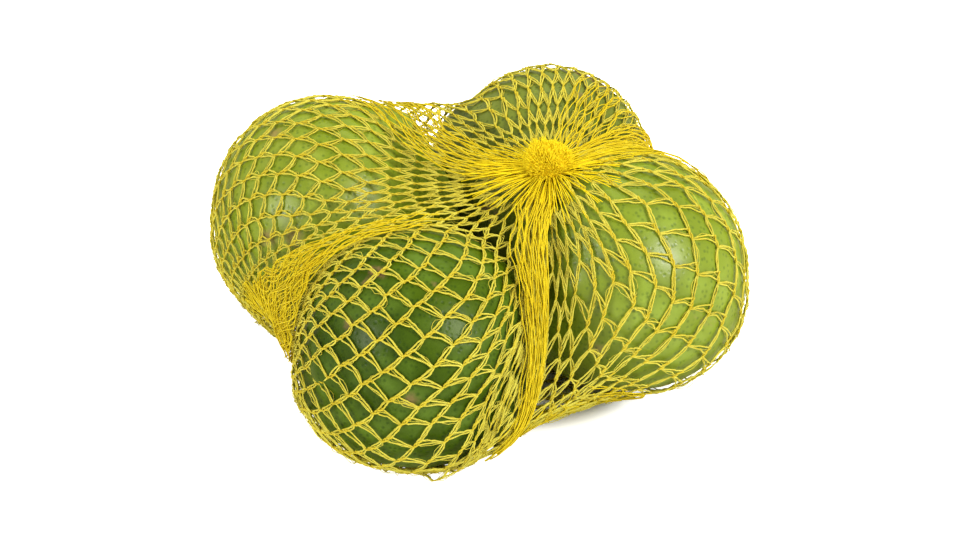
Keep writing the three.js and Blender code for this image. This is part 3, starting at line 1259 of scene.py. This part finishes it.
# Each lime's pattern, gloss and colours; its lighter green is a setting.
TONES = {
    "left": {
        "seed": 1.0, "gloss": 0.40, "dark": (0.16, 0.22, 0.005), "pale": (0.36, 0.42, 0.07),
        "pore": (0.05, 0.10, 0.003), "scar": (0.33, 0.20, 0.09),
    },
    "front": {
        "seed": 7.0, "gloss": 0.16, "dark": (0.030, 0.062, 0.0005), "pale": (0.13, 0.22, 0.025),
        "pore": (0.010, 0.035, 0.001), "scar": (0.24, 0.14, 0.07),
    },
    "right": {
        "seed": 13.0, "gloss": 0.55, "dark": (0.135, 0.19, 0.004), "pale": (0.28, 0.39, 0.045),
        "pore": (0.04, 0.09, 0.002), "scar": (0.33, 0.21, 0.09),
    },
    "back": {
        "seed": 19.0, "gloss": 0.45, "dark": (0.10, 0.135, 0.005), "pale": (0.20, 0.25, 0.045),
        "pore": (0.02, 0.045, 0.002), "scar": (0.27, 0.17, 0.08),
    },
}

# Brown rub marks on the peel: direction from the lime's middle and radius in millimetres.
MARKS = {
    "left": (((-0.45, -0.86, 0.25), 2.6), ((-0.22, -0.93, 0.30), 2.6), ((-0.41, -0.18, 0.90), 2.2)),
    "front": (((-0.05, -0.99, 0.10), 2.0), ((-0.55, -0.60, 0.58), 1.6)),
    "right": (((-0.27, -0.95, -0.15), 2.2), ((0.75, 0.30, 0.60), 1.8)),
    "back": (((0.30, -0.20, 0.93), 1.6),),
}

# The stage, in metres, watts and degrees.
FLOOR_REACH = 3.0
MIRRORED_FLOOR = (0.42, 0.40, 0.22)  # the floor's colour as the peel mirrors it
# The floor's glow grows between these distances from the middle; the weaker glow near the fruit
# paints shade round it.
GLOW_REACH = (0.045, 0.105)
# Middle of a spot of painted shade on the floor under the net, and distances from it at which
# the glow starts and is full.
PAINTED_SHADE_SPOTS = (((0.017, -0.014, 0.0), 0.016, 0.026), ((-0.002, 0.002, 0.0), 0.024, 0.036))
SKY = {"Color": (1, 0.97, 0.82, 1), "Strength": 0.56}
LAMP_COLOUR = (1, 0.98, 0.9)
# Name, place, sides, power and whether the peel mirrors it.
LAMPS = (
    ("key", (0.53, -0.43, 0.54), (0.24, 0.36), 5.5, True),
    ("fill", (-0.60, -0.50, 0.40), (0.3, 0.3), 3.6, True),
    ("rim", (0.12, 0.55, 0.75), (0.6, 0.6), 8.0, False),
)
LAMP_TARGET = (0, 0, 0.03)
CAMERA_TARGET = (0.0014, -0.0086, 0.028)
CAMERA_DISTANCE = 0.5356
CAMERA_ELEVATION = 31.7
SENSOR_WIDTH = 36.0


# ---- operators ----------------------------------------------------------------------------------


class LIMENET_OT_limes(bpy.types.Operator):
    """Make the four limes"""

    bl_idname = "limenet.limes"
    bl_label = "Limes"

    def execute(self, context):
        settings = context.scene.limenet_limes
        for name, (centre, radius, _) in BODIES.items():
            piece = add_mesh(f"lime_{name}", *lime_surface(name, settings.rings))
            marks = [(centre + radius * unit(way), size) for way, size in MARKS[name]]
            light, spacing = getattr(settings, name), settings.pore_spacing
            peel = peel_material(f"peel_{name}", light, spacing, TONES[name], marks)
            place(piece, peel)
        return {"FINISHED"}


class LIMENET_OT_net(bpy.types.Operator):
    """Make the knitted net with its folds, collar and neck"""

    bl_idname = "limenet.net"
    bl_label = "Net"

    def execute(self, context):
        settings = context.scene.limenet_net
        net = dict(NET, columns=settings.columns, rows=settings.rows)
        film = drawn_film()
        ends, families = settled_net(laid_net(film, net), net)
        radius, gap = 0.5 * settings.thread / MM, 0.5 * settings.gap / MM
        yarn = yarn_material("yarn", settings.light, settings.deep)
        # The joints' yarn (wound) is darker and more orange than the net's: painted shade.
        packed, collar, wound = (yarn_material(f"yarn_{kind}", *YARNS[kind]) for kind in YARNS)
        for name, fold in FOLDS.items():
            paths, outward = fold_threads(film, **fold)
            add_threads(f"net_fold_{name}", paths, FOLD_SHARE * radius, packed, outward)
        paths = collar_threads(film, net["seed"] + 7)
        add_threads("net_collar", paths, COLLAR_SHARE * radius, collar)

        rng = np.random.default_rng(net["seed"] + 5)
        knit = Knit(ends, net["leans"], settings.joint / MM, rng)
        threads, filaments = [], []
        for middle, target in families:
            pairs, strays = strand_threads(knit, middle, target, gap, radius, rng)
            threads += pairs
            filaments += strays
        for number, (paths, width, outward) in enumerate(threads, 1):
            add_threads(f"net_threads_{number}", paths, width, yarn, outward)
        for number, paths in enumerate(filaments, 1):
            add_threads(f"net_filaments_{number}", paths, FILAMENT_RADIUS, yarn, sides=3)
        for number, phase in enumerate((0, np.pi), 1):
            paths, width, outward = joint_threads(knit, phase, radius)
            add_threads(f"net_joints_{number}", paths, width, wound, outward)
        add_threads("net_neck", neck_threads(knit, gap, radius, rng), radius, yarn, sides=5)
        return {"FINISHED"}


class LIMENET_OT_tuft(bpy.types.Operator):
    """Make the tuft of cut yarn ends and its packed core"""

    bl_idname = "limenet.tuft"
    bl_label = "Tuft"

    def execute(self, context):
        settings = context.scene.limenet_tuft
        width, height = 0.5 * settings.width / MM, settings.height / MM
        yarn = yarn_material("yarn_tuft", settings.light, settings.deep)
        add_threads("tuft", tuft_ends(settings.ends, width, height), END_RADII, yarn)
        core = add_mesh("tuft_core", *tuft_core(CORE_SHARE * width, CORE_SHARE * height))
        place(core, yarn)
        return {"FINISHED"}


class LIMENET_OT_stage(bpy.types.Operator):
    """Make the floor, the lights and the camera"""

    bl_idname = "limenet.stage"
    bl_label = "Stage"

    def execute(self, context):
        settings = context.scene.limenet_stage
        corners = FLOOR_REACH / MM * np.array([[-1, -1, 0], [1, -1, 0], [1, 1, 0], [-1, 1, 0]])
        floor = add_mesh("floor", corners, [np.array([[0, 1, 2, 3]])], smooth=False)
        floor.data.materials.append(floor_material(settings.floor))

        world = bpy.data.worlds.new("studio")
        world.use_nodes = True
        for name, value in SKY.items():
            world.node_tree.nodes["Background"].inputs[name].default_value = value
        context.scene.world = world
        for lamp in LAMPS:
            add_lamp(*lamp)

        elevation = math.radians(CAMERA_ELEVATION)
        back = Vector((0, -math.cos(elevation), math.sin(elevation)))
        camera = bpy.data.cameras.new("camera")
        camera.lens = settings.lens
        camera.sensor_width = SENSOR_WIDTH
        camera.clip_start, camera.clip_end = 0.01, 20
        eye = bpy.data.objects.new("camera", camera)
        eye.location = Vector(CAMERA_TARGET) + CAMERA_DISTANCE * back
        eye.rotation_euler = (math.pi / 2 - elevation, 0, 0)
        context.scene.collection.objects.link(eye)
        context.scene.camera = eye
        # Keeps the yarn's yellow as strong as its material has it.
        context.scene.view_settings.view_transform = "Standard"
        return {"FINISHED"}


def add_lamp(name, location, sides, power, mirrored):
    """An area lamp that faces the net."""
    light = bpy.data.lights.new(name, "AREA")
    light.shape = "RECTANGLE"
    light.size, light.size_y = sides
    light.energy = power
    light.color = LAMP_COLOUR
    lamp = bpy.data.objects.new(name, light)
    lamp.location = location
    away = Vector(location) - Vector(LAMP_TARGET)
    lamp.rotation_euler = away.to_track_quat("Z", "Y").to_euler()
    lamp.visible_glossy = mirrored
    bpy.context.scene.collection.objects.link(lamp)


class LIMENET_PT_panel(bpy.types.Panel):
    """Lists the operators that build the net of limes"""

    bl_label = "Net of limes"
    bl_idname = "LIMENET_PT_panel"
    bl_space_type = "VIEW_3D"
    bl_region_type = "UI"
    bl_category = "Limes"

    def draw(self, context):
        for operator in OPERATORS:
            self.layout.operator(operator.bl_idname)


SETTINGS = {
    "limenet_limes": LimeSettings,
    "limenet_net": NetSettings,
    "limenet_tuft": TuftSettings,
    "limenet_stage": StageSettings,
}
OPERATORS = (LIMENET_OT_limes, LIMENET_OT_net, LIMENET_OT_tuft, LIMENET_OT_stage)


def register():
    for group in SETTINGS.values():
        bpy.utils.register_class(group)
    for operator in OPERATORS:
        bpy.utils.register_class(operator)
    bpy.utils.register_class(LIMENET_PT_panel)
    for name, group in SETTINGS.items():
        setattr(bpy.types.Scene, name, bpy.props.PointerProperty(type=group))


def unregister():
    for name in SETTINGS:
        delattr(bpy.types.Scene, name)
    bpy.utils.unregister_class(LIMENET_PT_panel)
    for operator in reversed(OPERATORS):
        bpy.utils.unregister_class(operator)
    for group in reversed(SETTINGS.values()):
        bpy.utils.unregister_class(group)


def main():
    """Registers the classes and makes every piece."""
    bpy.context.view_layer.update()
    register()
    bpy.ops.limenet.limes()
    bpy.ops.limenet.net()
    bpy.ops.limenet.tuft()
    bpy.ops.limenet.stage()


if __name__ == "__main__":
    main()
